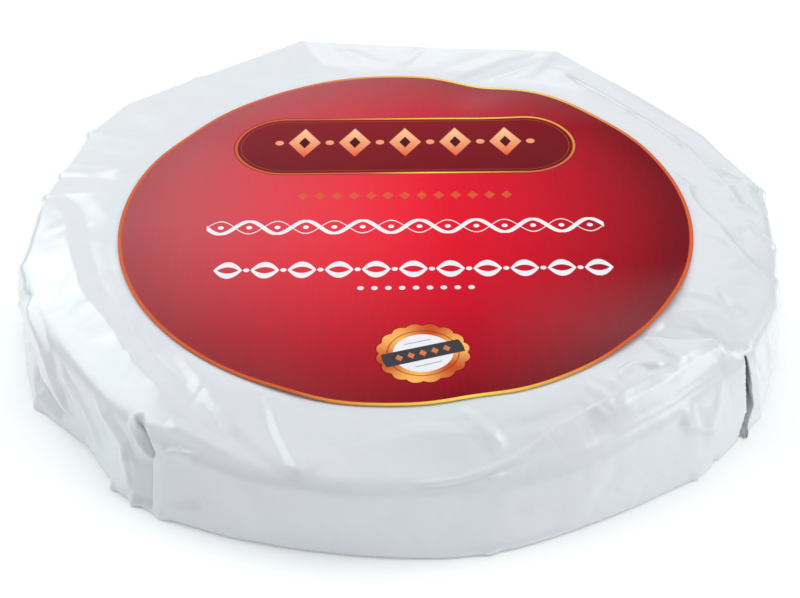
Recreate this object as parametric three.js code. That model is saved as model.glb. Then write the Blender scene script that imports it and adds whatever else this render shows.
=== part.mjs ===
// A small brie in its paper: a flat round cheese wrapped in glossy white paper, with a round paper
// label on top. Millimetres, +Z up. The pack rests on z = 0 and its outline is centred on the Z
// axis. +X is to the right of someone who reads the label, and -Y is towards them.
import * as THREE from "three";

// Sizes of the pack.
const HEIGHT = 29; // from the table to the paper under the label
const FLAT_TOP = 97; // radius at which the flat top starts to fall away
const SHOULDER_BEND = 5; // how far the paper bends either side of the shoulder's edge
const FOOT_BEND = 1.5; // the same at the foot
const LABEL_RADIUS = 91;
const LABEL_THICKNESS = 0.4;
const LABEL_CLEARANCE = 0.3; // air between the label and the paper under it
const LABEL_CENTRE = [1.6, -3]; // the label lies a little off the middle of the pack's outline

// The paper is stretched straight from one of these folds to the next, all round the pack:
// azimuth in degrees, reach of the shoulder's edge, its drop below the label, reach of the foot.
const CORNERS = [
  [-173, 123, 5, 124],
  [-161, 120, 6, 124.8],
  [-154, 118, 6, 126.4],
  [-142, 118, 6, 122.5],
  [-131, 119, 6, 126],
  [-124, 118, 6, 127.6],
  [-114, 118, 7, 123.6],
  [-104, 119.7, 6, 121.8],
  [-90, 116.5, 7, 122],
  [-79, 115, 9, 123.2],
  [-64, 114.5, 9, 120.6],
  [-47, 114, 7, 123.4],
  [-37, 114.5, 6, 123],
  [-31, 118.8, 4, 124],
  [-19, 120, 5, 121],
  [-5, 118, 5, 120.4],
  [12, 122.4, 5, 122],
  [30, 120.5, 5, 120],
  [47, 122.2, 5, 121],
  [64, 132.4, 4.5, 126],
  [84, 122.8, 4, 120.5],
  [107, 134, 4.5, 127],
  [118, 128.2, 4.5, 124],
  [140, 130.2, 5, 126],
  [149, 128.8, 5, 125],
  [168, 122.8, 5, 122.5],
];

// The main folds: each is a straight ridge with flat sides, or with a negative rise a valley.
// Ends are azimuth in degrees and millimetres down the paper from the shoulder's edge. The sides
// are the widths towards lower and higher azimuths, and the ends fade out over fade millimetres.
const FOLDS = [
  { from: [-114.5, -25], to: [-103.5, 2], rise: 1.5, sides: [10, 5], fade: 8 },
  { from: [-169, -23], to: [-149, -22], rise: 1.2, sides: [6, 6], fade: 12 },
  { from: [-149, -22], to: [-126, -15], rise: 1.4, sides: [7, 7], fade: 12 },
  { from: [-126, -15], to: [-114, -10], rise: 1.2, sides: [6, 6], fade: 10 },
  { from: [-167, 0], to: [-147, 20], rise: 1.8, sides: [9, 7], fade: 8 },
  { from: [-141, -1], to: [-133, 20], rise: 1.6, sides: [8, 6], fade: 8 },
  { from: [-131.5, 1], to: [-128.5, 26], rise: -3.2, sides: [8, 3], fade: 6 },
  { from: [-68, -3], to: [-36, -3], rise: -1.6, sides: [6, 6], fade: 14 },
  { from: [-57, -20], to: [-57, -9], rise: 1.4, sides: [5, 5], fade: 5 },
  { from: [-57, -9], to: [-36, -5], rise: 1.4, sides: [5, 5], fade: 6 },
  { from: [-31, -20], to: [-29, -4], rise: -2.6, sides: [11, 8], fade: 8 },
  { from: [-31.5, -1], to: [-30.8, 27], rise: -4, sides: [4, 3], fade: 12 },
  { from: [5, -23], to: [-11, -12], rise: 1.2, sides: [7, 7], fade: 9 },
];

// The flat top waves a little where the label's edge lies: azimuth, half width in degrees, rise.
const EDGE_WAVES = [
  [73, 8, -2.2],
  [54, 9, 0.9],
  [104, 12, 0.5],
  [145, 9, -0.9],
  [-78, 7, 1.2],
  [-104, 9, -0.8],
];
const WAVES_START = 62; // radius at which the waves begin

// How finely the surfaces are divided.
const COLUMN_STEP = 2.2; // most degrees between two columns
const TOP_RINGS = [50, 75, LABEL_RADIUS];
const BROW_BEND = 5; // how far the flat top bends before and after it starts to fall
const TOP_BEND_STEPS = 3;
const SLOPE_STEPS = 2;
const SHOULDER_STEPS = 4;
const WALL_STEPS = 4;
const FOOT_STEPS = 2;
const UNDER_RING = 100;

const radians = THREE.MathUtils.degToRad;
const { lerp, smoothstep } = THREE.MathUtils;

// The columns' azimuths: every corner is one, and the stretches between corners share out evenly.
function columns() {
  const list = [];
  CORNERS.forEach(([start], i) => {
    const end = i + 1 < CORNERS.length ? CORNERS[i + 1][0] : CORNERS[0][0] + 360;
    const parts = Math.ceil((end - start) / COLUMN_STEP);
    for (let k = 0; k < parts; k++) list.push(lerp(start, end, k / parts));
  });
  return list;
}

// Distance from the axis of the straight line that joins two corners, in the direction azimuth.
function chord(azimuth, start, startReach, end, endReach) {
  const whole = Math.sin(radians(end - start));
  const before = Math.sin(radians(azimuth - start));
  const after = Math.sin(radians(end - azimuth));
  return (startReach * endReach * whole) / (startReach * before + endReach * after);
}

// Shoulder's edge and foot in the direction azimuth.
function edgesAt(azimuth) {
  let i = CORNERS.length - 1;
  while (i > 0 && CORNERS[i][0] > azimuth) i--;
  const [start, reachA, dropA, footA] = CORNERS[i];
  const next = CORNERS[(i + 1) % CORNERS.length];
  const end = i + 1 < CORNERS.length ? next[0] : next[0] + 360;
  const [, reachB, dropB, footB] = next;
  const share = (azimuth - start) / (end - start);
  return {
    shoulder: new THREE.Vector2(
      chord(azimuth, start, reachA, end, reachB),
      HEIGHT - lerp(dropA, dropB, share),
    ),
    foot: new THREE.Vector2(chord(azimuth, start, footA, end, footB), 0),
  };
}

// Rise of the flat top at a radius and azimuth.
function topWave(azimuth, radius) {
  const strength = smoothstep(radius, WAVES_START, LABEL_RADIUS);
  return EDGE_WAVES.reduce((sum, [at, halfWidth, rise]) => {
    const away = (azimuth - at) / halfWidth;
    return sum + strength * rise * Math.exp(-away * away);
  }, 0);
}

// A point at a given distance from a towards b.
function towards(a, b, distance) {
  return b.clone().sub(a).setLength(distance).add(a);
}

// The pack's section in the direction azimuth, from near the axis on top to near it underneath:
// points (radius, height), each with its distance down the paper from the shoulder's edge.
function section(azimuth) {
  const { shoulder, foot } = edgesAt(azimuth);
  const brow = new THREE.Vector2(FLAT_TOP, HEIGHT);
  const slope = brow.distanceTo(shoulder);
  const wall = shoulder.distanceTo(foot);
  const points = [];
  const downs = [];
  const add = (point, down) => {
    points.push(point);
    downs.push(down);
  };
  const addBend = (before, corner, after, size, steps, cornerDown) => {
    const curve = new THREE.QuadraticBezierCurve(
      towards(corner, before, size),
      corner,
      towards(corner, after, size),
    );
    curve.getPoints(steps).forEach((point, i) => {
      add(point, cornerDown + lerp(-size, size, i / steps));
    });
  };
  TOP_RINGS.forEach((radius) => {
    add(new THREE.Vector2(radius, HEIGHT), radius - FLAT_TOP - slope);
  });
  addBend(new THREE.Vector2(0, HEIGHT), brow, shoulder, BROW_BEND, TOP_BEND_STEPS, -slope);
  for (let k = 1; k < SLOPE_STEPS; k++) {
    const along = lerp(BROW_BEND, slope - SHOULDER_BEND, k / SLOPE_STEPS);
    add(towards(brow, shoulder, along), along - slope);
  }
  addBend(brow, shoulder, foot, SHOULDER_BEND, SHOULDER_STEPS, 0);
  for (let k = 1; k < WALL_STEPS; k++) {
    const down = lerp(SHOULDER_BEND, wall - FOOT_BEND, k / WALL_STEPS);
    add(towards(shoulder, foot, down), down);
  }
  addBend(shoulder, foot, new THREE.Vector2(0, 0), FOOT_BEND, FOOT_STEPS, wall);
  add(new THREE.Vector2(UNDER_RING, 0), wall + foot.x - UNDER_RING);
  return { points, downs, wall, reach: shoulder.x };
}

// Rise of the paper over its plain section, from all the folds.
function foldRise(azimuth, down, reach) {
  const scale = radians(1) * reach;
  return FOLDS.reduce((sum, { from, to, rise, sides, fade }) => {
    const along = new THREE.Vector2((to[0] - from[0]) * scale, to[1] - from[1]);
    const length = along.length();
    along.divideScalar(length);
    const away = new THREE.Vector2((azimuth - from[0]) * scale, down - from[1]);
    const distance = away.dot(along);
    const aside = away.cross(along) * Math.sign(along.y || 1);
    const flank = 1 - Math.abs(aside) / (aside < 0 ? sides[0] : sides[1]);
    const ends = Math.min(1, (distance + fade / 2) / fade, (length + fade / 2 - distance) / fade);
    return sum + rise * Math.max(0, flank) * Math.max(0, ends);
  }, 0);
}

// One closed surface from rings of points, listed from the top's centre to the underside's.
function closedSurface(topCentre, rings, bottomCentre) {
  const count = rings[0].length;
  const positions = [topCentre, ...rings.flat(), bottomCentre].flatMap((p) => [p.x, p.y, p.z]);
  const last = 1 + rings.length * count;
  const index = [];
  for (let k = 0; k < count; k++) {
    const next = (k + 1) % count;
    index.push(0, 1 + k, 1 + next);
    for (let ring = 0; ring + 1 < rings.length; ring++) {
      const upper = 1 + ring * count;
      const lower = upper + count;
      index.push(upper + k, lower + k, lower + next);
      index.push(upper + k, lower + next, upper + next);
    }
    const foot = last - count;
    index.push(last, foot + next, foot + k);
  }
  const geometry = new THREE.BufferGeometry();
  geometry.setAttribute("position", new THREE.Float32BufferAttribute(positions, 3));
  geometry.setIndex(index);
  geometry.computeVertexNormals();
  return geometry;
}

// A point at an azimuth and radius, at a height.
function place(azimuth, radius, height) {
  const angle = radians(azimuth);
  return new THREE.Vector3(radius * Math.cos(angle), radius * Math.sin(angle), height);
}

// The wrapped cheese. The folds push the section out along its own direction, from up on the top
// to outwards on the wall, and fade out under the label and before the foot.
function wrapperGeometry(azimuths) {
  const columnsOfPoints = azimuths.map((azimuth) => {
    const { points, downs, wall, reach } = section(azimuth);
    return points.map((point, i) => {
      const down = downs[i];
      const onTop = down < wall / 2 ? 1 - smoothstep(point.x, LABEL_RADIUS, reach) : 0;
      const wave = topWave(azimuth, Math.min(point.x, LABEL_RADIUS)) * onTop;
      const clearOfLabel = smoothstep(point.x, LABEL_RADIUS + 0.5, LABEL_RADIUS + 4);
      const clearOfFoot = 1 - smoothstep(down, wall - FOOT_BEND, wall);
      const rise = foldRise(azimuth, down, reach) * clearOfLabel * clearOfFoot;
      const tilt = (Math.PI / 2) * smoothstep(down, -SHOULDER_BEND, SHOULDER_BEND);
      const radius = point.x + rise * Math.sin(tilt);
      return place(azimuth, radius, point.y + rise * Math.cos(tilt) + wave);
    });
  });
  const rings = columnsOfPoints[0].map((_, ring) => columnsOfPoints.map((column) => column[ring]));
  return closedSurface(new THREE.Vector3(0, 0, HEIGHT), rings, new THREE.Vector3(0, 0, 0));
}

// The label: a thin disc that follows the waves of the paper under it, with its two faces alike.
function labelGeometry(azimuths) {
  const under = HEIGHT + LABEL_CLEARANCE;
  const over = under + LABEL_THICKNESS;
  const ring = (radius, height) =>
    azimuths.map((azimuth) => place(azimuth, radius, height + topWave(azimuth, radius)));
  const upper = TOP_RINGS.map((radius) => ring(radius, over));
  const lower = TOP_RINGS.toReversed().map((radius) => ring(radius, under));
  return closedSurface(
    new THREE.Vector3(0, 0, over),
    [...upper, ...lower],
    new THREE.Vector3(0, 0, under),
  );
}

function mesh(name, geometry, material) {
  const made = new THREE.Mesh(geometry, new THREE.MeshStandardMaterial(material));
  made.name = name;
  return made;
}

const azimuths = columns();
const brie = new THREE.Group();
brie.add(
  mesh("wrapper", wrapperGeometry(azimuths), { color: 0xeef1f4, roughness: 0.32 }),
  mesh("label", labelGeometry(azimuths), { color: 0xb01830, roughness: 0.35 }),
);
brie.position.set(LABEL_CENTRE[0], LABEL_CENTRE[1], 0);

export default brie;
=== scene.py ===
"""A small brie wheel shut in creased glossy paper, with a round red label, on a pale floor."""

import math

import bmesh
import bpy
import numpy as np
from mathutils import Matrix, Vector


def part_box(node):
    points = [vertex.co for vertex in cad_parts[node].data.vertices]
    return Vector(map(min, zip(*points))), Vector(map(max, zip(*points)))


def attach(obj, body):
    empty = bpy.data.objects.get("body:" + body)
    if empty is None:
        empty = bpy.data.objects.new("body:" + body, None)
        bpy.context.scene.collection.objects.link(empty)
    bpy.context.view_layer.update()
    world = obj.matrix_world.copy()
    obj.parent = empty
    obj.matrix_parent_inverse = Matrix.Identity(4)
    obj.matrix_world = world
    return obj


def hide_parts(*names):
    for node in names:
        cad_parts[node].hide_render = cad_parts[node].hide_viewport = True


bl_info = {
    "name": "Wrapped brie wheel",
    "version": (1, 0, 0),
    "blender": (4, 5, 0),
    "location": "3D View > Sidebar > Brie",
    "description": "Builds a brie wheel in its paper with a printed label, and a stage for it",
    "category": "Add Mesh",
}

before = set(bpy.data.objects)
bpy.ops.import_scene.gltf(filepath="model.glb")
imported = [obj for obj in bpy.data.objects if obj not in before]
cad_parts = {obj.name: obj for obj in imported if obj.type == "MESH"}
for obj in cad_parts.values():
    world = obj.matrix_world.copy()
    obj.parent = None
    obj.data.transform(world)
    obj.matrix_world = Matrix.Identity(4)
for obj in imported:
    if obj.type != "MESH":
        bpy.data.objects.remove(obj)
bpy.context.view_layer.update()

# Sizes below are in millimetres. Meshes are in metres.
MM = 0.001
LABEL_BOX = [np.array(corner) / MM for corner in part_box("label")]
LABEL_CENTRE = (LABEL_BOX[0] + LABEL_BOX[1])[:2] / 2
LABEL_RADIUS = float(LABEL_BOX[1][0] - LABEL_BOX[0][0]) / 2

HEIGHT = 29.0  # from the floor to the paper under the label
FLAT_TOP = 97.0  # radius at which the flat top starts to fall away
BROW_BEND = 5.0  # how far the paper bends either side of that line
SHOULDER_BEND = 4.0  # the same at the shoulder's edge
FOOT_BEND = 1.5  # the same at the foot
WAVES_START = 62.0  # radius at which the top's waves begin
RELIEF_START = 90.2  # radius at which the creases begin, under the label's edge
RELIEF_FULL = 94.0  # radius at which they reach their full rise
FOOT_CALM = 3.5  # how far above the foot the creases start to fade and its teeth to stand out
LABEL_CLEARANCE = 0.3  # from the paper up to the label
LABEL_BEND_START = 78.0  # radius at which the label starts to lift

# The paper is stretched straight from one of these folds to the next, all round the pack:
# azimuth in degrees, reach of the shoulder's edge, its drop below the label, reach of the foot.
CORNERS = [
    (-173, 123, 5, 124),
    (-161, 120, 6, 124.8),
    (-154, 118, 6, 126.4),
    (-142, 118, 6, 120.4),
    (-131, 119, 6, 126),
    (-124, 118, 6, 126.2),
    (-114, 118, 7, 123.6),
    (-104, 119.7, 6, 121.8),
    (-90, 116.5, 7, 122),
    (-79, 115, 9, 123.2),
    (-64, 114.5, 9, 120.6),
    (-47, 114, 7, 123.4),
    (-37, 114.5, 6, 123),
    (-31, 118.8, 4, 124),
    (-19, 120, 5, 121),
    (-5, 118, 5, 120.4),
    (12, 122.4, 5, 122),
    (30, 120.5, 5, 120),
    (47, 122.2, 5, 121),
    (64, 132.4, 4.5, 126),
    (84, 122.8, 4, 120.5),
    (107, 134, 4.5, 127),
    (118, 128.2, 4.5, 124),
    (140, 130.2, 5, 126),
    (149, 128.8, 5, 125),
    (168, 122.8, 5, 122.5),
]

# The flat top waves a little where the label's edge lies: azimuth, half width in degrees, rise.
EDGE_WAVES = [
    (73, 8, -2.2),
    (54, 9, 0.9),
    (104, 12, 0.5),
    (145, 9, -0.9),
    (-78, 7, 1.2),
    (-104, 9, -0.8),
]

# Where the label's edge comes away from the paper: azimuth, half width in degrees, rise.
LABEL_LIFTS = [(-29, 9, 1.2), (-44, 6, 0.7), (-112, 7, 0.5), (30, 10, 0.4)]

# Creases that run through several points. Each has its rise, or fall where it is negative, its
# widths on the right and left, the length over which its ends fade, and its points: azimuth in
# degrees, millimetres down the paper from the shoulder's edge and, where given, the share of the
# rise there. Right and left are seen from outside, going from the end nearer the label to the other.
LEFT_CREASES = [
    (1.7, 6, 15, 6, (169.5, -3, 0.4), (175.5, -11.5, 0.8), (-173, -17.5), (-160, -16), (-147, -16),
     (-137.8, -14), (-132, -12.7), (-125, -9.5, 0.7), (-120.5, -6.5, 0.3)),
    (-0.3, 7, 12, 12, (-174, -22.5), (-160.5, -22), (-148.8, -20.6), (-138.8, -18.6),
     (-130, -15.8), (-123.5, -11.5, 0.6), (-119, -8.5, 0.2)),
    (0.75, 3, 7, 5, (-136, -27, 0), (-127.8, -21.8, 0.6), (-121.5, -15.5),
     (-114, -9.9), (-108.8, -6.3), (-104, -2)),
    (0.45, 1.8, 3.2, 4, (-125.8, -4.6), (-118.8, -4.2), (-114.7, -3.5)),
    (0.9, 2.6, 10, 3, (-115.2, -25, 0.5), (-109.8, -14.5), (-104, -2)),
    (0.3, 1.5, 4, 5, (-106.5, -22), (-104.2, -12), (-103, -3)),
    (-0.6, 9, 9, 10, (168.8, -6), (-177, -24)),
    (1.1, 3, 6, 7, (-168, 1), (-172.5, 18)),
    (1.7, 7, 3.5, 6, (-165, 0.5), (-158.8, 2.5), (-153.5, 6), (-149.8, 11), (-145.5, 16)),
    (1.1, 6, 3, 5, (-150, 4.5), (-146.2, 6.5), (-141.8, 9.5), (-139, 13.5), (-137.5, 17)),
    (1.3, 5, 3, 6, (-139, 2.5), (-136.2, 4), (-131.8, 8), (-129.8, 13)),
    (-2.4, 4, 2.4, 4, (-157, 15), (-147, 18)),
]
FLAP_CREASES = [
    (1.0, 1.2, 1.4, 2, (-131.6, -0.7), (-128.5, 5.8)),
    (-2.8, 1.4, 2.6, 2, (-130.8, -1.5), (-128.4, 3), (-126.6, 7.5)),
    (-2.6, 6, 0.9, 3, (-126.7, 7.0), (-125.4, 24)),
    (0.8, 3, 1.5, 3, (-131.2, 9), (-129.3, 20)),
    (0.8, 1.0, 4, 2, (-126.0, 7.6), (-123.5, 2.2), (-120, 0.5)),
    (0.4, 3, 5, 4, (-123, 22), (-118, 16)),
]
FRONT_CREASES = [
    (0.9, 5, 3.5, 5, (-81.5, -23), (-78.5, -16), (-75.6, -9.5)),
    (0.9, 12, 4, 5, (-97, -14), (-94.2, -14.8), (-86.5, -17), (-79.2, -13.5)),
    (0.6, 1.1, 3, 4, (-57.5, -11.5), (-61, -11.7), (-66.2, -10.9), (-71.8, -7.2), (-76, -4.8),
     (-83, -2), (-89, -1.2)),
    (-0.6, 1.2, 1.4, 4, (-74, -4.2), (-77, -2.6), (-83, -0.4), (-89, 0.6)),
    (0.8, 1.0, 1.2, 2, (-79, -0.8), (-76.5, -2.2)),
    (-0.5, 3, 3, 5, (-74, -14), (-60, -15)),
    (0.35, 2.4, 1.0, 3, (-60.5, -16.2), (-59.8, -11.5), (-58.2, -6.6)),
    (0.7, 9, 9, 12, (-100, 4), (-96, 16)),
    (-0.6, 10, 10, 12, (-86, 3), (-82, 18)),
    (0.6, 10, 9, 12, (-68, 6), (-62, 19)),
    (0.8, 7, 7, 10, (-112, 3), (-110, 19)),
]
RIGHT_CREASES = [
    (0.7, 2.8, 1.4, 4, (-57.2, -21.3), (-58, -17.7), (-57.2, -11.5)),
    (1.8, 8, 9, 4, (-72, -9.8, 0), (-61.5, -11.2, 0.35),
     (-57, -11.4), (-53, -11.5), (-43, -10.5), (-33.5, -8)),
    (1.8, 7, 10, 4, (-72, -6.8, 0), (-61.5, -8, 0.35),
     (-57, -8.2), (-53, -8.2), (-43, -7.4), (-33.5, -5)),
    (0.5, 2.4, 1.0, 3, (-54.3, -17), (-53.8, -13.2)),
    (1.0, 2.4, 1.6, 3, (-53.5, -15), (-51.5, -17.5), (-48, -17.7), (-44.6, -12)),
    (-1.1, 2.2, 2.2, 3, (-48.2, -14.6), (-44, -10)),
    (1.1, 1.8, 2.6, 4, (-40.8, -24), (-42.2, -15.9), (-42, -9.5)),
    (-3.4, 1.8, 14, 5, (-39, -20, 0.1), (-36.2, -14.5, 0.8), (-34, -10.8), (-31.8, -2.5)),
    (0.8, 2.5, 5, 5, (-25, -27), (-24.2, -18), (-25, -9)),
    (1.5, 1.6, 6, 3, (-47.5, 5.2), (-44.3, 11), (-41.5, 14)),
    (-0.6, 6, 5, 8, (-49, 4), (-45, 17)),
    (-0.7, 5, 5, 8, (-20, 0), (-18, 18)),
    (1.0, 3, 4, 8, (-25.5, 3), (-24, 18)),
    (0.8, 4, 4, 6, (-13, -3), (-12, 18)),
]
BACK_RIGHT_CREASES = [
    (0.8, 2.0, 3, 5, (27, -13), (14, -16.4), (6, -11), (4, -5.5)),
    (1.0, 4, 2.4, 8, (20, -31), (6.2, -26.5), (-9.8, -12), (-14.5, -3)),
    (-0.8, 4, 4, 8, (12, -27), (-2, -20), (-8, -10)),
    (-1.1, 5, 4, 10, (58, -12), (40, -12), (24, -11), (15, -5)),
    (-1.3, 2.2, 1.6, 3, (12.6, -4), (8, -2.5), (5, 1)),
    (0.9, 1.6, 2, 3, (1, -9), (-3, -5), (-5, 1)),
    (0.9, 3, 7, 8, (64, -30), (64, -3)),
    (0.9, 3, 9, 10, (79, -32), (67, -5)),
    (-0.7, 5, 5, 8, (73, -30), (60, -8)),
]
BACK_LEFT_CREASES = [
    (0.5, 2, 6, 6, (90, -24), (86, -4)),
    (0.7, 11, 12, 4, (106, -32), (107, -1)),
    (-0.5, 12, 10, 14, (114, -34), (117, -2)),
    (0.6, 9, 12, 4, (129, -30), (128, -1)),
    (0.8, 12, 8, 4, (142, -30), (141, -1)),
    (0.5, 8, 11, 4, (151, -29), (150, -1)),
    (0.6, 10, 8, 4, (161, -27), (159, -1)),
]
CREASES = [
    *LEFT_CREASES,
    *FLAP_CREASES,
    *FRONT_CREASES,
    *RIGHT_CREASES,
    *BACK_RIGHT_CREASES,
    *BACK_LEFT_CREASES,
]

# Small points and nicks in the outline of the foot and of the shoulder: azimuth, half width in
# degrees, extra reach.
FOOT_TEETH = [
    (-132.8, 1.3, 1.9),
    (-128.4, 1.2, 1.7),
    (-123.6, 1.6, 0.8),
    (-47.5, 0.8, 0.9),
    (-43.0, 0.7, -0.9),
    (-35.8, 1.6, 1.6),
    (-79.5, 1.5, 0.8),
    (-153.5, 1.5, 0.8),
]
SHOULDER_POINTS = [
    (162, 1.4, 1.3),
    (150, 1.2, 1.4),
    (127, 1.6, 1.0),
    (11.5, 1.0, 0.8),
    (168.6, 1.0, 1.2),
]

# The open slit where the front flap stops short of the right one. It runs through three points,
# each an azimuth, how far down it lies and half the slit's width there.
SLIT_POINTS = [(-32.6, 0.0, -0.3), (-33.4, 18.0, 1.1), (-37.2, 24.5, 1.3)]
SLIT_DEPTH = 12.0
SLIT_LEAN = 1.4  # how far it leans under the right flap for each millimetre of depth
SLIT_EDGE = 0.6  # width over which each of its sides falls
SLIT_OPENING = 5.0  # length over which it deepens from its upper end

# Smaller creases scattered over stretches of the paper: how many, between which azimuths, how far
# down they start and end, how far they slant in degrees, how high they rise and how wide they are.
SCATTERED = [
    (26, (20, 158), (2, 5), (14, 21), 6, 1.2, 5),
    (14, (-176, -133), (4, 9), (11, 19), 4, 0.35, 3),
    (12, (-168, -108), (-26, -16), (-14, -5), 9, 0.22, 5),
    (9, (-118, -60), (2, 8), (10, 19), 12, 0.35, 7),
    (14, (-60, 22), (-26, -16), (-14, -3), 9, 0.3, 4),
    (9, (-44, -5), (1, 5), (10, 19), 5, 0.5, 4),
    (14, (22, 178), (-28, -18), (-14, -6), 10, 0.25, 6),
]
SCATTERED_FADE = 5.0

# Crumpling in flat triangles, in three sizes: how high it rises, roughly the cosine and sine of the
# turn of its net, the side of its triangles and its seed.
CRUMPLING = [
    (0.38, 1, 0, 31, 3),
    (0.16, 0.8, 0.6, 13, 5),
    (0.05, 0.3, -0.95, 5, 7),
]

# Columns of the paper's grid crowd together for the sharp edges at these azimuths, over these
# spreads in degrees.
FINE_AZIMUTHS = [(-32.2, 3.5), (-126.6, 4.0), (-104, 3.0)]
COLUMN_COUNT = 940
TOP_RADII = (20, 45, 65, 78, 84, 87.5, 89.5, 90.6)  # of the rows that lie on the flat top
UNDER_RADII = (116, 112, 104, 92, 76, 56, 34, 12)  # of the rows on the underside
EASE_STEPS = (-6, -3, 0, 3, 6)  # degrees over which corners are rounded

# The pleats of the paper underneath: how many, and how high they climb.
PLEATS = 15
PLEAT_RISE = 0.9

# The soft lights, each turned to the pack: name, place in metres, width and height, power in watts,
# colour and kind. A fill doesn't show in the gloss of surfaces, and a sheen shows only there.
LIGHTS = [
    ("overhead", (0.0, 0.2, 1.05), (1.1, 0.9), 5.5, (1.0, 0.96, 1.0), "fill"),
    ("right", (1.08, 0.06, 0.8), (0.72, 1.2), 7.9, (0.90, 1.0, 0.95), "both"),
    ("left", (-0.96, 0.54, 0.82), (0.98, 1.1), 6.6, (0.86, 1.0, 0.94), "both"),
    ("left_sheen", (-0.9, 0.63, 0.82), (0.72, 1.1), 2.2, (0.80, 1.0, 0.93), "sheen"),
    ("strip_sheen", (-0.74, 0.88, 0.56), (0.36, 0.42), 0.42, (0.80, 1.0, 0.93), "sheen"),
    ("back", (-0.1, 1.35, 0.65), (2.0, 1.1), 4.6, (1.0, 0.93, 0.98), "both"),
    ("back_low", (0.1, 1.3, 0.2), (0.4, 0.34), 0.24, (0.88, 1.0, 0.96), "both"),
    ("front", (0.3, -1.4, 0.2), (1.8, 0.36), 5.7, (0.95, 0.97, 1.0), "fill"),
    ("low_left", (-1.25, -0.2, 0.5), (0.5, 0.8), 3.5, (0.93, 1.0, 1.0), "fill"),
    ("low_right", (1.2, -0.7, 0.35), (0.5, 0.8), 3.0, (0.97, 0.98, 1.0), "fill"),
]
WORLD_COLOUR = (0.90, 0.95, 1.0, 1.0)
WORLD_STRENGTH = 0.17
FLOOR_DROP = 0.0002  # metres from the pack's foot down to the floor
FLOOR_GLOW = 0.08  # keeps the floor near white in the pack's soft shadow


def smooth(value, low, high):
    """0 below low, 1 above high, and between them the cubic 3t^2 - 2t^3 of the share t."""
    t = np.clip((value - low) / (high - low), 0, 1)
    return t * t * (3 - 2 * t)


def turn_between(azimuth, start):
    """The turn from start to azimuth in degrees, between -180 and 180."""
    return (azimuth - start + 180) % 360 - 180


def column_azimuths():
    """Azimuths of the grid's columns: evenly spaced in a measure that grows about three times as
    fast near each of the fine azimuths."""
    dense = np.linspace(-180, 180, 7201)
    density = np.ones_like(dense)
    for at, spread in FINE_AZIMUTHS:
        density += 2.2 * np.exp(-((turn_between(dense, at) / spread) ** 2))
    measure = np.concatenate([[0], np.cumsum((density[1:] + density[:-1]) / 2)])
    return np.interp(np.linspace(0, measure[-1], COLUMN_COUNT, endpoint=False), measure, dense)


def points_at(azimuth, points):
    """Sum of small tents: each rises straight from nothing at its half width to its full reach."""
    total = np.zeros_like(azimuth)
    for at, half_width, reach in points:
        total += reach * np.clip(1 - np.abs(turn_between(azimuth, at)) / half_width, 0, None)
    return total


def edges_at(azimuth):
    """Reach and height of the shoulder's edge and reach of the foot. In plan each is a straight
    line between neighbouring corners a and b: r = ra rb sin(b - a) / (ra sin(t - a) + rb sin(b - t))."""
    table = np.array(CORNERS, float)
    table = np.vstack([table, table[0] + (360, 0, 0, 0)])
    turned = (azimuth - table[0, 0]) % 360 + table[0, 0]
    index = np.clip(np.searchsorted(table[:, 0], turned, side="right") - 1, 0, len(table) - 2)
    start, end = table[index], table[index + 1]
    whole = np.sin(np.radians(end[:, 0] - start[:, 0]))
    before = np.sin(np.radians(turned - start[:, 0]))
    after = np.sin(np.radians(end[:, 0] - turned))

    def reach(column):
        across = start[:, column] * before + end[:, column] * after
        return start[:, column] * end[:, column] * whole / across

    share = (turned - start[:, 0]) / (end[:, 0] - start[:, 0])
    drop = start[:, 2] + share * (end[:, 2] - start[:, 2])
    return reach(1) + points_at(azimuth, SHOULDER_POINTS), HEIGHT - drop, reach(3)


def eased_edges(azimuth):
    """The same three values with corners rounded: the foot's in front, and the shoulder's in front
    and on the left, are the mean over five places up to 6 degrees either side."""
    right = smooth(-azimuth, 42, 58)
    front = smooth(azimuth, -112, -100) * right
    left = smooth(azimuth, -158, -146) * right
    foot = np.mean([edges_at(azimuth + front * step)[2] for step in EASE_STEPS], axis=0)
    shoulder = np.mean([edges_at(azimuth + left * step)[:2] for step in EASE_STEPS], axis=0)
    return shoulder[0], shoulder[1], foot


def top_wave(azimuth, radius):
    """Rise of the flat top: a sum of bell curves in azimuth that grow outwards up to the label's
    edge, as 3t^2 - 2t^3 of the share t of the way there."""
    total = np.zeros(np.broadcast(azimuth, radius).shape)
    for at, half_width, rise in EDGE_WAVES:
        total += rise * np.exp(-((turn_between(azimuth, at) / half_width) ** 2))
    return total * smooth(radius, WAVES_START, LABEL_RADIUS)


def facets(x, y, cell, seed):
    """A sheet creased into flat triangles: random heights at the corners of a gently bent net of
    triangles of side cell, joined by planes. The heights come from a seeded table."""
    table = np.random.default_rng(seed).uniform(-1, 1, (128, 128))
    x = x + 0.35 * cell * np.sin(y / cell * 0.9 + seed)
    y = y + 0.35 * cell * np.sin(x / cell * 0.8 + 2 * seed)
    u = x / cell - y / (cell * math.sqrt(3))
    v = 2 * y / (cell * math.sqrt(3))
    i, j = np.floor(u).astype(int), np.floor(v).astype(int)
    fu, fv = u - i, v - j

    def corner(di, dj):
        return table[(i + di) % 128, (j + dj) % 128]

    lower = (1 - fu - fv) * corner(0, 0) + fu * corner(1, 0) + fv * corner(0, 1)
    upper = (fu + fv - 1) * corner(1, 1) + (1 - fu) * corner(0, 1) + (1 - fv) * corner(1, 0)
    return np.where(fu + fv < 1, lower, upper)


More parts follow.
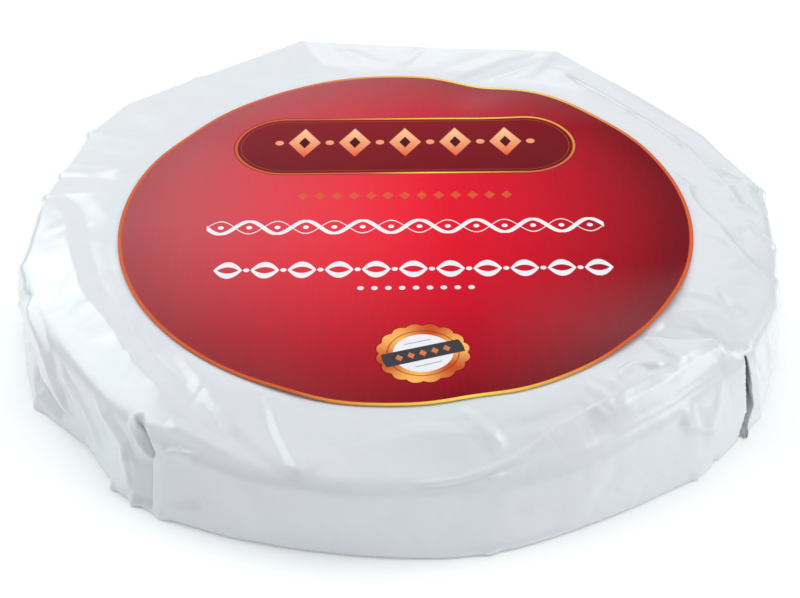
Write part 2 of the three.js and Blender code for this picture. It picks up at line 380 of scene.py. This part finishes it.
def crease(azimuth, down, reach, rise, right, left, fade, *points):
    """A straight-sided ridge along a line of points: its height is the rise times 1 - a / w, where
    a is the distance from the line and w the width of that side, and it fades over the last stretch
    at each end. A third number at a point is the share of the rise there. Where two stretches meet,
    the higher counts."""
    scale = np.radians(1) * reach
    best = np.zeros(np.broadcast(azimuth, down).shape)
    last = len(points) - 2
    outwards = 1 if points[-1][1] >= points[0][1] else -1
    for k, (near, far) in enumerate(zip(points, points[1:])):
        (a_turn, a_down, a_share), (b_turn, b_down, b_share) = (*near, 1)[:3], (*far, 1)[:3]
        along_x = turn_between(b_turn, a_turn) * scale
        along_y = b_down - a_down
        length = np.hypot(along_x, along_y)
        x, y = turn_between(azimuth, a_turn) * scale, down - a_down
        distance = (x * along_x + y * along_y) / length
        aside = (x * along_y - y * along_x) / length * outwards
        beyond = np.maximum(0, np.maximum(-distance, distance - length))
        away = np.hypot(aside, beyond)
        flank = 1 - away / np.where(aside < 0, right, left)
        share = a_share + (b_share - a_share) * np.clip(distance / length, 0, 1)
        if k == 0:
            share = share * np.clip((distance + 0.3 * fade) / fade, 0, 1)
        if k == last:
            share = share * np.clip((length + 0.3 * fade - distance) / fade, 0, 1)
        best = np.maximum(best, np.clip(flank, 0, 1) * share)
    return rise * best


def scattered_creases():
    """Creases for each scattered group, from seeded random numbers: evenly spread starts, random
    ends within the slant, now rising and now falling, and one side steeper than the other."""
    made = []
    for seed, (count, turns, starts, ends, slant, rise, side) in enumerate(SCATTERED):
        rng = np.random.default_rng(seed + 11)
        for k, turn in enumerate(np.linspace(*turns, count)):
            start = turn + rng.uniform(-2, 2)
            end = start + rng.uniform(-slant, slant)
            height = (1 if k % 2 else -1) * rng.uniform(0.5, 1) * rise
            sides = rng.uniform(0.35, 1, 2) * side
            points = (start, rng.uniform(*starts)), (end, rng.uniform(*ends))
            made.append((height, *sides, SCATTERED_FADE, *points))
    return made


def slit_depth(azimuth, down, reach):
    """Depth of the open slit: full between its two sides, which part further down the wall, and
    falling straight to nothing outside them."""
    turns, downs, halves = np.transpose(SLIT_POINTS)
    middle = np.interp(down, downs, turns)
    half = np.interp(down, downs, halves)
    away = np.abs(turn_between(azimuth, middle)) * np.radians(1) * reach
    within = np.clip((half - away) / SLIT_EDGE + 1, 0, 1)
    return SLIT_DEPTH * within * smooth(down, downs[0], downs[0] + SLIT_OPENING)


def paper_relief(azimuth, down, reach, spread):
    """How far the paper stands out from its plain section: all creases, and three sizes of
    crumpling over the sheet as it would lie flat."""
    total = np.zeros(np.broadcast(azimuth, down).shape)
    for values in CREASES + scattered_creases():
        total += crease(azimuth, down, reach, *values)
    x = spread * np.cos(np.radians(azimuth))
    y = spread * np.sin(np.radians(azimuth))
    for rise, turn_x, turn_y, cell, seed in CRUMPLING:
        total += rise * facets(turn_x * x + turn_y * y, turn_x * y - turn_y * x, cell, seed)
    return total


def bend_rows(corner, before, after, size, steps):
    """Rows along a rounded corner: the quadratic curve (1-t)^2 p + 2t(1-t) c + t^2 q, where p and
    q lie size before and after the corner c. Each comes with its place, from -1 at p to 1 at q."""
    start = corner + (before - corner) / np.linalg.norm(before - corner, axis=0) * size
    end = corner + (after - corner) / np.linalg.norm(after - corner, axis=0) * size
    return [
        ((1 - t) ** 2 * start + 2 * t * (1 - t) * corner + t * t * end, t * 2 - 1)
        for t in np.linspace(0, 1, steps)
    ]


def paper_grid():
    """The paper's points as rows of columns, from near the middle of the top, down the wall and to
    near the middle of the underside. The plain section comes first, with each point's distance down
    from the shoulder's edge, and the relief then stands out along its normal."""
    azimuth = column_azimuths()
    shoulder_reach, shoulder_height, foot_reach = eased_edges(azimuth)
    even = np.ones_like(azimuth)
    axis = np.array([0 * even, HEIGHT * even])
    brow = np.array([FLAT_TOP * even, HEIGHT * even])
    shoulder = np.array([shoulder_reach, shoulder_height])
    foot = np.array([foot_reach, 0 * even])
    slope = np.linalg.norm(shoulder - brow, axis=0)
    wall = np.linalg.norm(foot - shoulder, axis=0)
    rows, downs = [], []

    def add(row, down):
        rows.append(row)
        downs.append(down * even)

    for radius in TOP_RADII:
        add(np.array([radius * even, HEIGHT * even]), radius - FLAT_TOP - slope)
    for row, t in bend_rows(brow, axis, shoulder, BROW_BEND, 15):
        add(row, t * BROW_BEND - slope)
    for t in np.linspace(0, 1, 22)[1:-1]:
        along = BROW_BEND + t * (slope - BROW_BEND - SHOULDER_BEND)
        add(brow + (shoulder - brow) / slope * along, along - slope)
    for row, t in bend_rows(shoulder, brow, foot, SHOULDER_BEND, 16):
        add(row, t * SHOULDER_BEND)
    for t in np.linspace(0, 1, 30)[1:-1]:
        along = SHOULDER_BEND + t * (wall - SHOULDER_BEND - FOOT_BEND)
        add(shoulder + (foot - shoulder) / wall * along, along)
    for row, t in bend_rows(foot, shoulder, np.array([0 * even, 0 * even]), FOOT_BEND, 5):
        add(row, wall + t * FOOT_BEND)
    for radius in UNDER_RADII:
        add(np.array([radius * even, 0 * even]), wall + foot_reach - radius)

    section, down = np.array(rows), np.array(downs)
    radius, height = section[:, 0], section[:, 1]
    # How far the normal leans outwards: not at all on the flat top, then the slope's and the wall's.
    on_slope = np.arctan2(HEIGHT - shoulder_height, shoulder_reach - FLAT_TOP)
    on_wall = math.pi / 2 - np.arctan2(foot_reach - shoulder_reach, shoulder_height)
    turning = smooth(down, -SHOULDER_BEND, SHOULDER_BEND)
    past_brow = smooth(radius, FLAT_TOP - BROW_BEND, FLAT_TOP + BROW_BEND)
    tilt = on_slope * past_brow * (1 - turning) + on_wall * turning
    relief = paper_relief(azimuth, down, shoulder_reach, shoulder_reach + down)
    relief = relief * smooth(radius, RELIEF_START, RELIEF_FULL)
    relief = relief * (1 - smooth(down, wall - FOOT_CALM, wall - 0.3))
    above_under = down < wall + FOOT_BEND + 0.1
    teeth = points_at(azimuth, FOOT_TEETH) * smooth(down, wall - FOOT_CALM, wall - 0.5)
    teeth = teeth * above_under
    on_top = down < wall / 2
    near = np.minimum(radius, LABEL_RADIUS)
    wave = top_wave(azimuth, near) * (1 - smooth(radius, LABEL_RADIUS, shoulder_reach)) * on_top
    under = (down > wall + 0.5) * folded_underside(azimuth, radius)
    slit = slit_depth(azimuth, down, shoulder_reach) * above_under
    slit = slit * (1 - 0.7 * smooth(down, wall - 5, wall - 0.5))
    radius = radius + relief * np.sin(tilt) + teeth - slit
    height = height + relief * np.cos(tilt) + wave + under
    angle = np.radians(azimuth) + slit * SLIT_LEAN / shoulder_reach
    x = LABEL_CENTRE[0] + radius * np.cos(angle)
    y = LABEL_CENTRE[1] + radius * np.sin(angle)
    return np.stack([x, y, np.maximum(height, 0)], axis=-1)


def folded_underside(azimuth, radius):
    """Rise of the gathered paper underneath: overlapping pleats that climb evenly round the
    middle and drop where the next one starts, flat at the rim and in the middle."""
    phase = azimuth / 360 * PLEATS + 0.35 * np.sin(np.radians(azimuth * 3)) + 0.004 * radius
    climb = phase - np.floor(phase)
    pleat = PLEAT_RISE * np.minimum(climb, (1 - climb) * 14)
    return pleat * smooth(radius, 10, 40) * smooth(-radius, -118, -106)


def ring_mesh(name, rows, top, bottom):
    """A closed surface from rows of points round an axis, with a point at each end."""
    count = rows.shape[1]
    total = rows.shape[0] * count
    points = np.vstack([rows.reshape(-1, 3), [top], [bottom]]) * MM
    start = np.arange(count)
    after = (start + 1) % count
    upper = np.arange(rows.shape[0] - 1)[:, None] * count
    lower = upper + count
    quads = np.stack([upper + start, lower + start, lower + after, upper + after], -1)
    caps = [np.stack([np.full(count, total), start, after], -1)]
    last = total - count
    caps.append(np.stack([np.full(count, total + 1), last + after, last + start], -1))
    faces = quads.reshape(-1, 4).tolist() + np.vstack(caps).tolist()
    mesh = bpy.data.meshes.new(name)
    mesh.from_pydata(points, [], faces)
    mesh.validate()
    mesh.shade_smooth()
    return mesh


def add_piece(name, mesh, material, node):
    """Puts a finished mesh in the scene as a piece that stands for a node."""
    piece = bpy.data.objects.new(name, mesh)
    bpy.context.scene.collection.objects.link(piece)
    mesh.materials.append(material)
    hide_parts(node)
    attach(piece, "root")


class Wire:
    """A number socket that takes part in Python arithmetic: each operator adds its Math node."""

    def __init__(self, shop, socket):
        self.shop = shop
        self.socket = socket

    def math(self, operation, *others, clamp=False):
        settings = {"operation": operation, "use_clamp": clamp}
        node = self.shop.add("ShaderNodeMath", settings, self, *others)
        return Wire(self.shop, node.outputs[0])

    def __add__(self, other):
        return self.math("ADD", other)

    __radd__ = __add__

    def __sub__(self, other):
        return self.math("SUBTRACT", other)

    def __rsub__(self, other):
        return self.shop.number(other).math("SUBTRACT", self)

    def __mul__(self, other):
        return self.math("MULTIPLY", other)

    __rmul__ = __mul__

    def __truediv__(self, other):
        return self.math("DIVIDE", other)

    def __abs__(self):
        return self.math("ABSOLUTE")

    def __pow__(self, other):
        return self.math("POWER", other)

    def __mod__(self, other):
        return self.math("FLOORED_MODULO", other)

    def least(self, other):
        return self.math("MINIMUM", other)

    def most(self, other):
        return self.math("MAXIMUM", other)

    def clamped(self):
        return self.math("ADD", 0.0, clamp=True)

    def inside(self, edge, soft=0.12):
        """1 where the value is below edge, falling to 0 over soft."""
        return ((edge - self) / soft).clamped()


class Shop:
    """Adds nodes to one material."""

    def __init__(self, name):
        self.material = bpy.data.materials.new(name)
        self.material.use_nodes = True
        self.tree = self.material.node_tree
        self.tree.nodes.clear()
        self.shader = self.add("ShaderNodeBsdfPrincipled", {})
        output = self.add("ShaderNodeOutputMaterial", {})
        self.tree.links.new(self.shader.outputs["BSDF"], output.inputs["Surface"])

    def add(self, kind, settings, *values, **named):
        """Adds a node of a kind, sets its settings, then its sockets from values or links."""
        node = self.tree.nodes.new(kind)
        for key, value in settings.items():
            setattr(node, key, value)
        pairs = list(zip(node.inputs, values))
        pairs += [(node.inputs[key.replace("_", " ")], value) for key, value in named.items()]
        for socket, value in pairs:
            self.put(socket, value)
        return node

    def put(self, socket, value):
        """Links a wire or socket into a socket, or sets the socket to a plain value."""
        if isinstance(value, Wire):
            value = value.socket
        if isinstance(value, bpy.types.NodeSocket):
            self.tree.links.new(value, socket)
        else:
            socket.default_value = value

    def number(self, value):
        node = self.add("ShaderNodeValue", {})
        node.outputs[0].default_value = value
        return Wire(self, node.outputs[0])

    def place(self, centre=(0, 0, 0)):
        """The object's own coordinates in millimetres, from a centre."""
        source = self.add("ShaderNodeTexCoord", {}).outputs["Object"]
        mapping = self.add("ShaderNodeMapping", {"vector_type": "POINT"}, source)
        mapping.inputs["Scale"].default_value = (1 / MM, 1 / MM, 1 / MM)
        mapping.inputs["Location"].default_value = tuple(-value for value in centre)
        return mapping.outputs["Vector"]

    def parts(self, vector):
        node = self.add("ShaderNodeSeparateXYZ", {}, vector)
        return [Wire(self, socket) for socket in node.outputs]

    def colour(self, factor, first, second):
        """Mixes two colours by a factor."""
        settings = {"data_type": "RGBA", "blend_type": "MIX", "clamp_factor": True}
        node = self.add("ShaderNodeMix", settings)
        sockets = [s for s in node.inputs if s.enabled]
        for socket, value in zip(sockets, (factor, first, second)):
            self.put(socket, value)
        return next(s for s in node.outputs if s.enabled)

    def noise(self, vector, scale, detail=3.0, rough=0.5):
        values = {"Vector": vector, "Scale": scale, "Detail": detail, "Roughness": rough}
        return Wire(self, self.add("ShaderNodeTexNoise", {}, **values).outputs[0])


def linear(red, green, blue):
    """A screen colour from 0 to 255 as a linear colour."""
    values = []
    for part in (red, green, blue):
        share = part / 255
        values.append(share / 12.92 if share <= 0.04045 else ((share + 0.055) / 1.055) ** 2.4)
    return (*values, 1.0)


class BRIE_PG_paper(bpy.types.PropertyGroup):
    """Sizes and finish of the paper."""

    tint: bpy.props.FloatVectorProperty(
        name="Paper", description="Colour of the paper", subtype="COLOR", size=4,
        default=(0.728, 0.704, 0.758, 1.0), min=0, max=1,
    )
    cool: bpy.props.FloatVectorProperty(
        name="Cool", description="The paper's greener patches", subtype="COLOR", size=4,
        default=(0.695, 0.734, 0.750, 1.0), min=0, max=1,
    )
    roughness: bpy.props.FloatProperty(
        name="Roughness", description="How much the paper's film blurs reflections",
        default=0.3, min=0, max=1, subtype="FACTOR",
    )
    crumple: bpy.props.FloatProperty(
        name="Crumple", description="Depth of the finest creases", default=0.0005, unit="LENGTH",
    )


class BRIE_PG_label(bpy.types.PropertyGroup):
    """Sizes and colours of the label."""

    thickness: bpy.props.FloatProperty(
        name="Thickness", description="Thickness of the label's paper", default=0.00025, unit="LENGTH",
    )
    rim: bpy.props.FloatProperty(
        name="Rim", description="Width of the gold rim", default=0.0013, unit="LENGTH",
    )
    bright: bpy.props.FloatVectorProperty(
        name="Bright red", description="Red in the middle of the label", subtype="COLOR", size=4,
        default=linear(230, 12, 42), min=0, max=1,
    )
    dark: bpy.props.FloatVectorProperty(
        name="Dark red", description="Red near the label's edge", subtype="COLOR", size=4,
        default=linear(114, 5, 20), min=0, max=1,
    )
    # The colour of the painted sheen, towards which the red pales where the label's gloss would mirror
    # the light.
    painted_sheen: bpy.props.FloatVectorProperty(
        name="Pale red", description="Towards which the red pales at the left and far side",
        subtype="COLOR", size=4, default=(0.80, 0.55, 0.58, 1.0), min=0, max=1,
    )
    copper: bpy.props.FloatVectorProperty(
        name="Copper", description="Copper of the rim and the ornaments", subtype="COLOR", size=4,
        default=linear(208, 96, 52), min=0, max=1,
    )
    gold: bpy.props.FloatVectorProperty(
        name="Gold", description="Light gold where the rim catches the light", subtype="COLOR", size=4,
        default=linear(250, 214, 90), min=0, max=1,
    )


class BRIE_PG_stage(bpy.types.PropertyGroup):
    """Camera, lights and floor."""

    elevation: bpy.props.FloatProperty(
        name="Elevation", description="How steeply the camera looks down",
        default=math.radians(37.06), subtype="ANGLE",
    )
    distance: bpy.props.FloatProperty(
        name="Distance", description="From the camera to the point it looks at",
        default=0.541, unit="LENGTH",
    )
    lens: bpy.props.FloatProperty(
        name="Lens", description="Focal length for a sensor 36 mm wide", default=81.0,
    )
    roll: bpy.props.FloatProperty(
        name="Roll", description="Turn of the camera about its own view",
        default=math.radians(-0.53), subtype="ANGLE",
    )
    floor: bpy.props.FloatVectorProperty(
        name="Floor", description="Colour of the floor", subtype="COLOR", size=4,
        default=(0.97, 0.97, 0.97, 1.0), min=0, max=1,
    )


def paper_material(settings):
    """White paper with a glossy film: an almost even colour in soft patches, fine crumpling along
    the edges of cells and in a noise, and a thin clear coat."""
    shop = Shop("glossy_paper")
    where = shop.place()
    cloud = (shop.noise(where, 0.03, 3.0) - 0.5) * 2.4 + 0.5
    shop.put(shop.shader.inputs["Base Color"], shop.colour(cloud, settings.tint, settings.cool))
    to_edge = {"feature": "DISTANCE_TO_EDGE"}
    cells = shop.add("ShaderNodeTexVoronoi", to_edge, Vector=where, Scale=0.12)
    edge = Wire(shop, cells.outputs["Distance"]).least(0.25) * 2.0
    height = edge * 0.6 + shop.noise(where, 0.12, 3.0, 0.45) * 0.4
    bump = shop.add("ShaderNodeBump", {}, Strength=0.35, Distance=settings.crumple, Height=height)
    shop.put(shop.shader.inputs["Normal"], bump.outputs["Normal"])
    shop.shader.inputs["Roughness"].default_value = settings.roughness
    shop.shader.inputs["Coat Weight"].default_value = 0.8
    shop.shader.inputs["Coat Roughness"].default_value = 0.16
    return shop.material


def rim_mix(shop, settings, x, y):
    """Colour of the gold print: copper, with painted highlights of light gold towards the label's far
    and near sides, where the foil would catch the light.
    """
    turn = y.math("ARCTAN2", x)
    far = 1 - (abs(turn - math.radians(72)) / 0.75).clamped()
    near = 1 - (abs(turn + math.radians(80)) / 0.55).clamped()
    return shop.colour(far.most(near), settings.copper, settings.gold)


def lozenge(x, y, half_width, half_height):
    """1 inside a lozenge: where |x| / w + |y| / h is under 1."""
    return (abs(x) / half_width + abs(y) / half_height).inside(1.0, 0.06)


def repeat(x, pitch):
    """The distance from the middle of the nearest of evenly spaced places."""
    return (x + pitch / 2) % pitch - pitch / 2


def capsule(x, y, half_length, radius):
    """Distance to a bar with round ends, less than 0 inside."""
    past = (abs(x) - (half_length - radius)).most(0.0)
    return (past * past + y * y) ** 0.5 - radius


def label_material(settings):
    """The label's print, worked out in millimetres from its middle."""
    shop = Shop("printed_label")
    where = shop.place((*LABEL_CENTRE, 0))
    x, y, _ = shop.parts(where)
    radius = (x * x + y * y) ** 0.5

    # Red that darkens outwards, with faint strokes from front to back.
    glow = ((x + 9) / 96) ** 2.0 + ((y - 5) / 100) ** 2.0
    glow = 1 - (glow ** 0.75).clamped()
    stretch = {"operation": "MULTIPLY"}
    drawn = shop.add("ShaderNodeVectorMath", stretch, where, (0.9, 0.12, 1)).outputs[0]
    lines = shop.noise(drawn, 1.0, 2.0)
    red = shop.colour((glow * 1.05 + (lines - 0.5) * 0.14).clamped(), settings.dark, settings.bright)

    # Painted sheen: the red pales towards the left and the far side, and a little at the near right,
    # where the label's gloss would mirror the light.
    left = ((15 - x) / 85).clamped() ** 1.1 * (((y + 60) / 60).clamped() * 0.09 + 0.06)
    far = ((y - 55) / 32).clamped() * 0.09
    near = ((x - 20) / 50).clamped() * ((-25 - y) / 30).clamped() * 0.06
    red = shop.colour((left + far).most(near).clamped(), red, settings.painted_sheen)

    # The gold print, with its painted highlights.
    gold = rim_mix(shop, settings, x, y)
    white = (0.80, 0.79, 0.82, 1.0)
    deep = tuple(c * 0.42 for c in settings.dark[:3]) + (1.0,)

    # A dark cartouche with two outlines, and hollow lozenges and beads in it.
    badge = capsule(x - 0.3, y - 44.5, 58.0, 18.0)
    badge_fill = badge.inside(0.0, 0.3)
    shade = ((y - 28) / 32).clamped()
    paint = shop.colour(badge_fill * 0.85, red, shop.colour(shade, deep, settings.dark))
    paint = shop.colour((abs(badge + 0.9) - 0.55).inside(0.0, 0.25), paint, gold)
    paint = shop.colour((abs(badge + 2.6) - 0.18).inside(0.0, 0.2) * 0.7, paint, settings.copper)
    across = repeat(x - 0.3, 17.0)
    within = (abs(x - 0.3) - 44.5).inside(0.0, 0.1)
    big = lozenge(across, y - 46.5, 5.6, 9.2) * within
    hollow = lozenge(across, y - 46.5, 2.0, 3.6) * within
    beads = ((repeat(x - 8.8, 17.0) ** 2.0 + (y - 46.5) ** 2.0) ** 0.5).inside(1.5) * within
    hot = shop.colour(((y - 38) / 17).clamped(), linear(226, 92, 50), linear(250, 196, 150))
    paint = shop.colour(big.most(beads), paint, hot)
    paint = shop.colour(hollow, paint, deep)

    # A row of small lozenges.
    row = (abs(x) - 35.9).inside(0.0, 0.1)
    small = lozenge(repeat(x, 5.5), y - 14, 1.9, 2.3) * row
    paint = shop.colour(small * 0.75, paint, settings.copper)

    # Two waves that cross, a wide one and a thin one, with dots between them.
    phase = x * (2 * math.pi / 18)
    wave = phase.math("SINE") * 3.4
    thick = 0.75 + abs(phase.math("COSINE")) * 0.65
    ribbon = (abs(y + 3.6 - wave) - thick).inside(0.0, 0.25)
    other = (abs(y + 3.6 + wave) - 0.35).inside(0.0, 0.2)
    dots = ((repeat(x - 4.5, 9.0) ** 2.0 + (y + 3.6) ** 2.0) ** 0.5).inside(1.0)
    paint = shop.colour(ribbon.most(other).most(dots) * (abs(x) - 63).inside(0.0, 0.1), paint, white)

    # A row of hollow leaves with dots between them, and a row of smaller dots.
    across = repeat(x - 2.3, 11.4)
    leaf = ((across / 4.5) ** 2.0 + abs(y + 26.5) / 4.4).inside(1.0, 0.06)
    vein = ((across / 3.4) ** 2.0 + abs(y + 26.5) / 1.7).inside(1.0, 0.1)
    studs = ((repeat(x - 8.0, 11.4) ** 2.0 + (y + 26.5) ** 2.0) ** 0.5).inside(1.0)
    row = (abs(x - 2.3) - 61.75).inside(0.0, 0.1)
    paint = shop.colour((leaf - vein).most(studs) * row, paint, white)
    tiny = ((repeat(x - 3.0, 4.2) ** 2.0 + (y + 36.2) ** 2.0) ** 0.5).inside(1.05)
    paint = shop.colour(tiny * (abs(x - 3.0) - 18.9).inside(0.0, 0.1) * 0.9, paint, white)

    # The seal: a scalloped metal disc with a white middle, and a slanted band of lozenges across it.
    sx, sy = x - 4.6, y + 67.8
    seal = (sx * sx + sy * sy) ** 0.5
    turn = sy.math("ARCTAN2", sx)
    scallop = 12.9 + abs((turn * 8.0).math("SINE")) * 0.9
    shine = ((turn * 3.0 + 0.6).math("SINE") * 0.5 + 0.5).clamped()
    metal = shop.colour(shine, linear(196, 78, 34), linear(248, 176, 92))
    paint = shop.colour((seal - scallop - 0.5).inside(0.0, 0.3) * 0.5, paint, deep)
    paint = shop.colour((seal - scallop).inside(0.0, 0.2), paint, metal)
    paint = shop.colour((abs(seal - 10.4) - 0.3).inside(0.0, 0.2) * 0.7, paint, linear(120, 36, 20))
    paint = shop.colour(seal.inside(8.8), paint, white)
    lean = math.radians(17)
    along = sx * math.cos(lean) + sy * math.sin(lean)
    over = sy * math.cos(lean) - sx * math.sin(lean)
    band = (abs(over) - 3.1).inside(0.0, 0.15) * seal.inside(12.2)
    paint = shop.colour(band, paint, linear(62, 60, 66))
    marks = lozenge(repeat(along, 3.6), over, 1.2, 1.6) * seal.inside(8.4)
    paint = shop.colour(marks, paint, linear(214, 120, 70))
    rules = (abs(abs(over) - 5.4) - 0.25).inside(0.0, 0.15) * seal.inside(6.8)
    paint = shop.colour(rules * 0.7, paint, linear(90, 84, 90))

    rim = (LABEL_RADIUS - radius).inside(settings.rim / MM, 0.2)
    paint = shop.colour(rim, paint, gold)
    shop.put(shop.shader.inputs["Base Color"], paint)
    grain = shop.noise(where, 0.35, 3.0)
    bump = shop.add("ShaderNodeBump", {}, Strength=0.12, Distance=0.0003, Height=grain)
    shop.put(shop.shader.inputs["Normal"], bump.outputs["Normal"])
    shop.shader.inputs["Roughness"].default_value = 0.24
    shop.shader.inputs["Specular IOR Level"].default_value = 0.06
    return shop.material


def label_rows(thickness):
    """The label as rows round its middle: over the top, round the edge and back underneath. Its
    height is the paper's wave plus the lifts of its edge: bell curves in azimuth that grow outwards
    with s^1.5, where s rises smoothly from 0 at the radius where the lifts start to 1 at the edge."""
    azimuth = np.linspace(-180, 180, 540, endpoint=False)
    rings = np.concatenate([np.linspace(6, 78, 20), np.linspace(79.5, LABEL_RADIUS - 0.1, 14)])
    lifts = np.zeros_like(azimuth)
    for at, half_width, rise in LABEL_LIFTS:
        lifts += rise * np.exp(-((turn_between(azimuth, at) / half_width) ** 2))
    rows = []
    for k, radius in enumerate([*rings, LABEL_RADIUS, *rings[::-1]]):
        side = 1.0 if k < len(rings) else 0.5 if k == len(rings) else 0.0
        lift = lifts * smooth(radius, LABEL_BEND_START, LABEL_RADIUS) ** 1.5
        sheet = HEIGHT + LABEL_CLEARANCE + side * thickness / MM
        height = sheet + top_wave(azimuth, np.full_like(azimuth, radius)) + lift
        angle = np.radians(azimuth)
        x = LABEL_CENTRE[0] + radius * np.cos(angle)
        y = LABEL_CENTRE[1] + radius * np.sin(angle)
        rows.append(np.stack([x, y, height], axis=-1))
    return np.array(rows)


class BRIE_OT_paper(bpy.types.Operator):
    """Make the creased paper round the cheese"""

    bl_idname = "brie.paper"
    bl_label = "Paper"

    def execute(self, context):
        settings = context.scene.brie_paper
        top = (*LABEL_CENTRE, HEIGHT)
        mesh = ring_mesh("paper", paper_grid(), top, (*LABEL_CENTRE, 0.0))
        add_piece("paper", mesh, paper_material(settings), "wrapper")
        return {"FINISHED"}


class BRIE_OT_label(bpy.types.Operator):
    """Make the printed label"""

    bl_idname = "brie.label"
    bl_label = "Label"

    def execute(self, context):
        settings = context.scene.brie_label
        low = HEIGHT + LABEL_CLEARANCE
        top = (*LABEL_CENTRE, low + settings.thickness / MM)
        mesh = ring_mesh("label_sheet", label_rows(settings.thickness), top, (*LABEL_CENTRE, low))
        add_piece("label_sheet", mesh, label_material(settings), "label")
        return {"FINISHED"}


def add_light(name, place, size, power, colour, kind):
    """A rectangular soft light at a place in metres, turned to face the middle of the pack's foot.
    A fill doesn't show in the gloss of surfaces, and a sheen shows only there."""
    data = bpy.data.lights.new(name, "AREA")
    data.shape = "RECTANGLE"
    data.size, data.size_y = size
    data.energy = power
    data.color = colour
    light = bpy.data.objects.new(name, data)
    light.visible_glossy = kind != "fill"
    light.visible_diffuse = kind != "sheen"
    back = np.array(place) / np.linalg.norm(place)
    side = np.cross((0, 1, 0.01), back)
    side /= np.linalg.norm(side)
    up = np.cross(back, side)
    turn = np.eye(4)
    turn[:3, 0], turn[:3, 1], turn[:3, 2], turn[:3, 3] = side, up, back, place
    light.matrix_world = Matrix(turn.tolist())
    bpy.context.scene.collection.objects.link(light)


def add_camera(settings):
    """A camera that looks at a point beside the label's middle, from in front and above."""
    target = np.array([LABEL_CENTRE[0] - 1.9, LABEL_CENTRE[1] - 41.1, HEIGHT]) * MM
    rise, roll = settings.elevation, settings.roll
    back = np.array([0, -math.cos(rise), math.sin(rise)])
    level = np.array([1.0, 0, 0])
    upright = np.array([0, math.sin(rise), math.cos(rise)])
    right = math.cos(roll) * level + math.sin(roll) * upright
    up = math.cos(roll) * upright - math.sin(roll) * level
    turn = np.eye(4)
    turn[:3, 0], turn[:3, 1], turn[:3, 2] = right, up, back
    turn[:3, 3] = target + settings.distance * back
    data = bpy.data.cameras.new("camera")
    data.sensor_fit = "HORIZONTAL"
    data.sensor_width = 36
    data.lens = settings.lens
    data.clip_start = 0.02
    camera = bpy.data.objects.new("camera", data)
    camera.matrix_world = Matrix(turn.tolist())
    bpy.context.scene.collection.objects.link(camera)
    bpy.context.scene.camera = camera


def add_floor(settings):
    """A wide plain floor, a hair below the pack."""
    mesh = bpy.data.meshes.new("floor")
    build = bmesh.new()
    bmesh.ops.create_grid(build, x_segments=1, y_segments=1, size=3.0)
    build.to_mesh(mesh)
    build.free()
    floor = bpy.data.objects.new("floor", mesh)
    floor.location.z = -FLOOR_DROP
    shop = Shop("floor")
    shop.shader.inputs["Base Color"].default_value = settings.floor
    shop.shader.inputs["Roughness"].default_value = 0.9
    shop.shader.inputs["Specular IOR Level"].default_value = 0.1
    shop.shader.inputs["Emission Color"].default_value = settings.floor
    shop.shader.inputs["Emission Strength"].default_value = FLOOR_GLOW
    mesh.materials.append(shop.material)
    bpy.context.scene.collection.objects.link(floor)


class BRIE_OT_stage(bpy.types.Operator):
    """Set up the camera, the lights and the floor"""

    bl_idname = "brie.stage"
    bl_label = "Stage"

    def execute(self, context):
        scene = context.scene
        settings = scene.brie_stage
        add_camera(settings)
        add_floor(settings)
        for values in LIGHTS:
            add_light(*values)
        world = bpy.data.worlds.new("soft_light")
        world.use_nodes = True
        background = world.node_tree.nodes["Background"]
        background.inputs["Color"].default_value = WORLD_COLOUR
        background.inputs["Strength"].default_value = WORLD_STRENGTH
        scene.world = world
        scene.view_settings.view_transform = "Standard"
        return {"FINISHED"}


class BRIE_PT_panel(bpy.types.Panel):
    """Buttons for the pack and its stage"""

    bl_idname = "BRIE_PT_panel"
    bl_label = "Wrapped brie wheel"
    bl_space_type = "VIEW_3D"
    bl_region_type = "UI"
    bl_category = "Brie"

    def draw(self, context):
        for operator in (BRIE_OT_stage, BRIE_OT_paper, BRIE_OT_label):
            self.layout.operator(operator.bl_idname)
        for group in ("brie_paper", "brie_label", "brie_stage"):
            settings = getattr(context.scene, group)
            box = self.layout.box()
            for name in settings.bl_rna.properties.keys():
                if name not in ("rna_type", "name"):
                    box.prop(settings, name)


GROUPS = {"brie_paper": BRIE_PG_paper, "brie_label": BRIE_PG_label, "brie_stage": BRIE_PG_stage}
CLASSES = (*GROUPS.values(), BRIE_OT_stage, BRIE_OT_paper, BRIE_OT_label, BRIE_PT_panel)


def register():
    for entry in CLASSES:
        bpy.utils.register_class(entry)
    for name, group in GROUPS.items():
        setattr(bpy.types.Scene, name, bpy.props.PointerProperty(type=group))


def unregister():
    for name in GROUPS:
        delattr(bpy.types.Scene, name)
    for entry in reversed(CLASSES):
        bpy.utils.unregister_class(entry)


def main():
    register()
    bpy.ops.brie.stage()
    bpy.ops.brie.paper()
    bpy.ops.brie.label()


if __name__ == "__main__":
    main()
